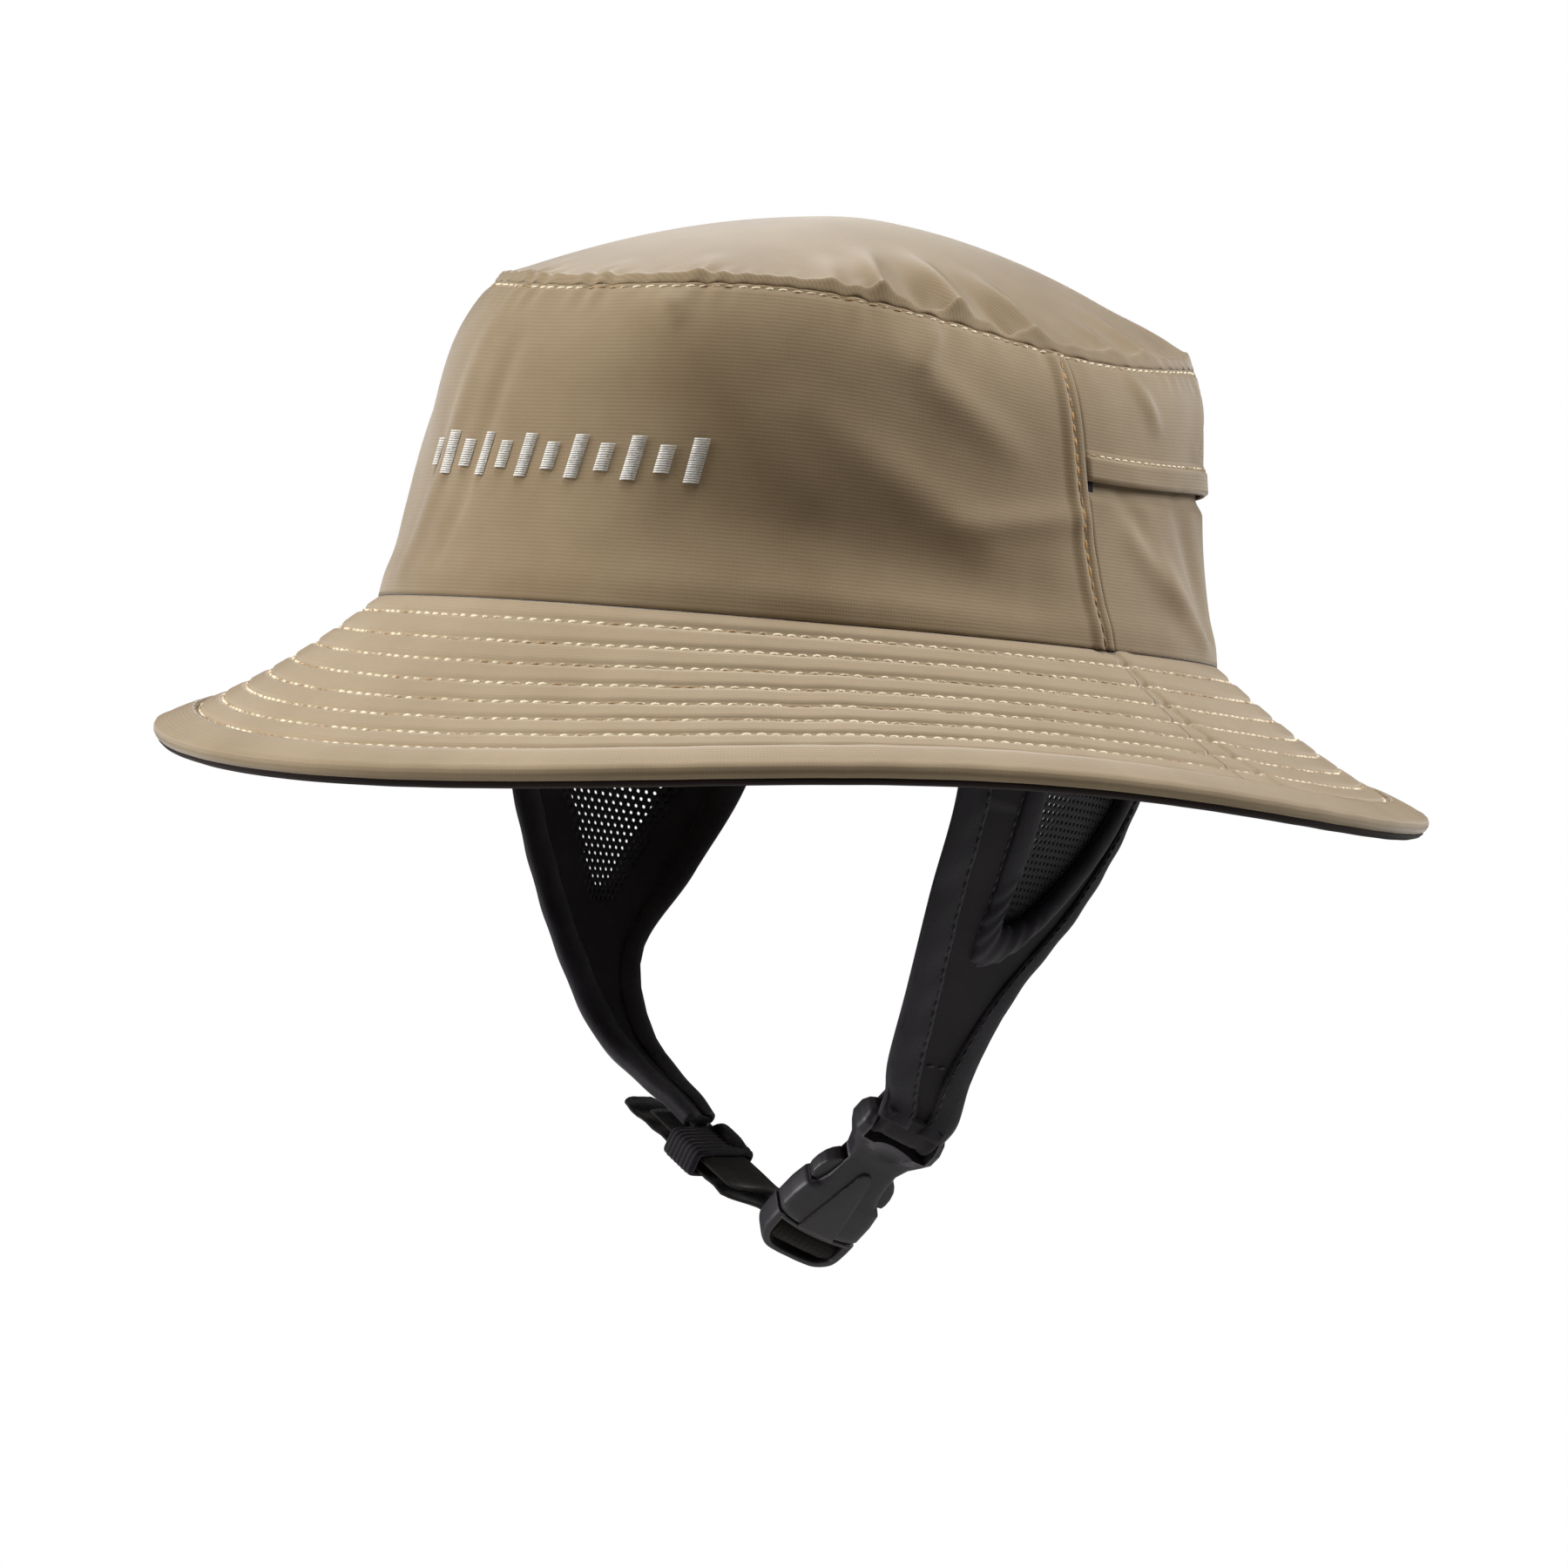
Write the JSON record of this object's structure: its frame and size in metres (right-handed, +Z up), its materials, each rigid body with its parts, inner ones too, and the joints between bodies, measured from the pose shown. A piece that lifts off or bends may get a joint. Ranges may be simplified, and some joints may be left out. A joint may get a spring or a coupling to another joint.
{
  "type": "bucket hat",
  "caption": "Soft bucket hat with a stitched brim, a vented back, ear flaps with mesh windows, and a buckled chin strap.",
  "frame": {"origin": "centre of the head opening, in the plane where the crown meets the brim", "axes": "the wearer looks along -Y, +X is the wearer's left, +Z is up"},
  "size_m": [0.2698, 0.3063, 0.2374],
  "materials": {
    "brim_cloth": "smooth twill",
    "crown_cloth": "fine ribbed cloth",
    "lining_cloth": "black lining cloth",
    "foam": "closed cell foam",
    "binding_cloth": "bias cut cloth",
    "mesh": "knitted mesh",
    "tape": "woven tape",
    "sweatband_cloth": "brushed knit",
    "motif_thread": "satin stitch thread",
    "neoprene": "knit faced foam rubber",
    "flap_binding": "folded knit binding",
    "webbing": "woven strap",
    "elastic": "ribbed elastic",
    "buckle_plastic": "moulded, satin"
  },
  "bodies": {
    "hat": {"crown_tip": "crown_cloth", "crown_front_panel": "crown_cloth", "crown_back_panel": "crown_cloth", "back_vent_flap": "crown_cloth", "back_vent_mesh": "mesh", "crown_seam_tape": "tape", "side_seam_tapes": "tape", "sweatband": "sweatband_cloth", "front_motif": "motif_thread", "brim_top_front": "brim_cloth", "brim_top_back": "brim_cloth", "brim_lining_front": "lining_cloth", "brim_lining_back": "lining_cloth", "brim_foam": "foam", "brim_edge_binding": "binding_cloth"},
    "chin_strap": {"left_ear_flap": "neoprene", "left_flap_mesh": "mesh", "left_flap_bindings": "flap_binding", "left_window_binding": "flap_binding", "left_strap_loop": "webbing", "buckle_socket": "buckle_plastic"},
    "right_strap": {"right_ear_flap": "neoprene", "right_flap_mesh": "mesh", "right_flap_bindings": "flap_binding", "right_window_binding": "flap_binding", "chin_webbing": "webbing", "buckle_plug": "buckle_plastic"},
    "prong_front": {"release_prong_front": "buckle_plastic"},
    "prong_rear": {"release_prong_rear": "buckle_plastic"},
    "keeper": {"keeper_loop": "elastic"}
  },
  "joints": [
    {"name": "chin_strap_swing", "type": "hinge", "parent": "hat", "child": "chin_strap", "pos_m": [0, 0.01, -0.003], "axis": [1, 0, 0], "range_deg": [-20, 20], "deforming": ["left_ear_flap", "left_flap_mesh", "left_flap_bindings", "left_window_binding", "right_ear_flap", "right_flap_mesh", "right_flap_bindings", "right_window_binding"]},
    {"name": "right_strap_swing", "type": "hinge", "parent": "chin_strap", "child": "right_strap", "pos_m": [-0.0801, -0.002, -0.021], "axis": [0, 1, 0], "range_deg": [0, 40], "deforming": ["right_ear_flap", "right_flap_mesh", "right_flap_bindings", "right_window_binding"]},
    {"name": "front_prong_squeeze", "type": "hinge", "parent": "right_strap", "child": "prong_front", "pos_m": [0.01734, -0.00746, -0.12721], "axis": [-0.6124, 0.5, 0.6124], "range_deg": [0, 8], "stiffness_Nm_per_rad": 0.05},
    {"name": "rear_prong_squeeze", "type": "hinge", "parent": "right_strap", "child": "prong_rear", "pos_m": [0.02179, 0.00346, -0.13166], "axis": [0.6124, -0.5, -0.6124], "range_deg": [0, 8], "stiffness_Nm_per_rad": 0.05},
    {"name": "keeper_slide", "type": "slide", "parent": "right_strap", "child": "keeper", "axis": [0.866, 0, -0.5], "range_m": [0, 0.008]}
  ],
  "couplings": [
    {"joint": "rear_prong_squeeze", "follows": "front_prong_squeeze", "ratio": 1}
  ]
}
